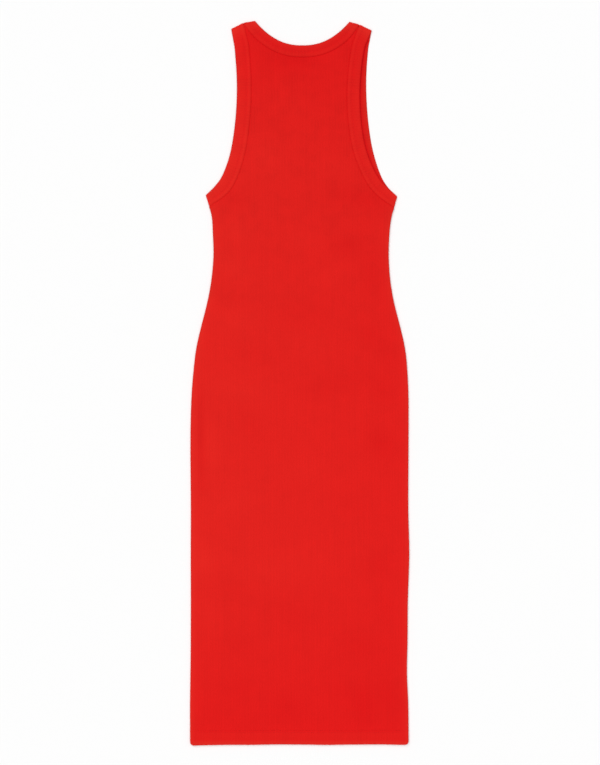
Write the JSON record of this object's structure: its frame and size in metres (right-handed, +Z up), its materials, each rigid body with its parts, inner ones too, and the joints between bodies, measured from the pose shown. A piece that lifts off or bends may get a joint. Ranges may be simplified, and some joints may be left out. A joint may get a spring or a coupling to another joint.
{
  "type": "bodycon dress",
  "caption": "Sleeveless rib-knit midi bodycon dress with bound neck and armholes and a turned-up hem, laid flat with its back up.",
  "frame": {"origin": "on the underside, midway across the dress and midway along it", "axes": "+Z up from the surface it lies on, +Y from the hem towards the neck, +X to the right as seen from above"},
  "size_m": [0.3636, 1.2018, 0.0043],
  "materials": {
    "rib_knit": "matte red rib knit, ribs running from neck to hem",
    "rib_binding": "matte red rib knit, ribs running across the binding"
  },
  "bodies": {
    "root": {"front_panel": "rib_knit", "back_panel": "rib_knit", "neck_binding": "rib_binding", "armhole_binding_left": "rib_binding", "armhole_binding_right": "rib_binding"}
  },
  "joints": []
}
